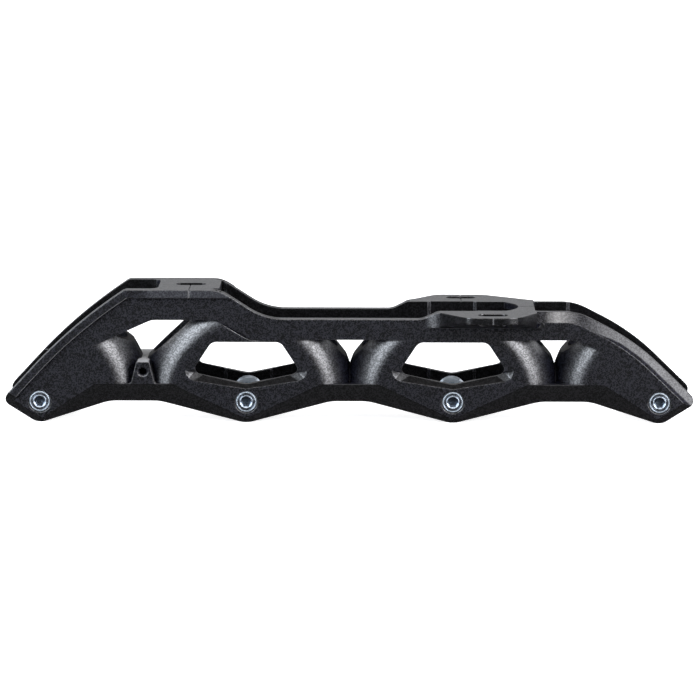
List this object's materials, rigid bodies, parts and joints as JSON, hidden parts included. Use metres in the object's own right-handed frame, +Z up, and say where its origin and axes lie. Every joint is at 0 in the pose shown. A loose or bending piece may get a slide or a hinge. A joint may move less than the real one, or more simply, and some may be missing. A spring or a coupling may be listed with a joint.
{
  "type": "inline skate frame",
  "caption": "Cast inline skate frame with tyre-shaped cups between its walls, slotted heel and toe mounts, and axles that draw out sideways from flanged steel seats.",
  "frame": {"origin": "middle of the object's box, on the plane under its lowest lobes", "axes": "+X to the toe, +Y away from the viewer to the wall with the threaded inserts, +Z up to the boot"},
  "size_m": [0.3064, 0.072, 0.0596],
  "materials": {
    "black_casting": "black fine-textured powder coat on cast aluminium",
    "zinc_bolt": "zinc-plated steel",
    "zinc_sleeve": "zinc-plated steel"
  },
  "bodies": {
    "frame": {"frame_casting": "black_casting", "axle_bush_1": "zinc_sleeve", "axle_bush_2": "zinc_sleeve", "axle_bush_3": "zinc_sleeve", "axle_bush_4": "zinc_sleeve", "axle_nut_1": "zinc_sleeve", "axle_nut_2": "zinc_sleeve", "axle_nut_3": "zinc_sleeve", "axle_nut_4": "zinc_sleeve"},
    "axle_1": {"axle_bolt_1": "zinc_bolt"},
    "axle_2": {"axle_bolt_2": "zinc_bolt"},
    "axle_3": {"axle_bolt_3": "zinc_bolt"},
    "axle_4": {"axle_bolt_4": "zinc_bolt"}
  },
  "joints": [
    {"name": "axle_1_withdraw", "type": "slide", "parent": "frame", "child": "axle_1", "axis": [0, -1, 0], "range_m": [0, 0.042]},
    {"name": "axle_2_withdraw", "type": "slide", "parent": "frame", "child": "axle_2", "axis": [0, -1, 0], "range_m": [0, 0.042]},
    {"name": "axle_3_withdraw", "type": "slide", "parent": "frame", "child": "axle_3", "axis": [0, -1, 0], "range_m": [0, 0.042]},
    {"name": "axle_4_withdraw", "type": "slide", "parent": "frame", "child": "axle_4", "axis": [0, -1, 0], "range_m": [0, 0.042]}
  ]
}
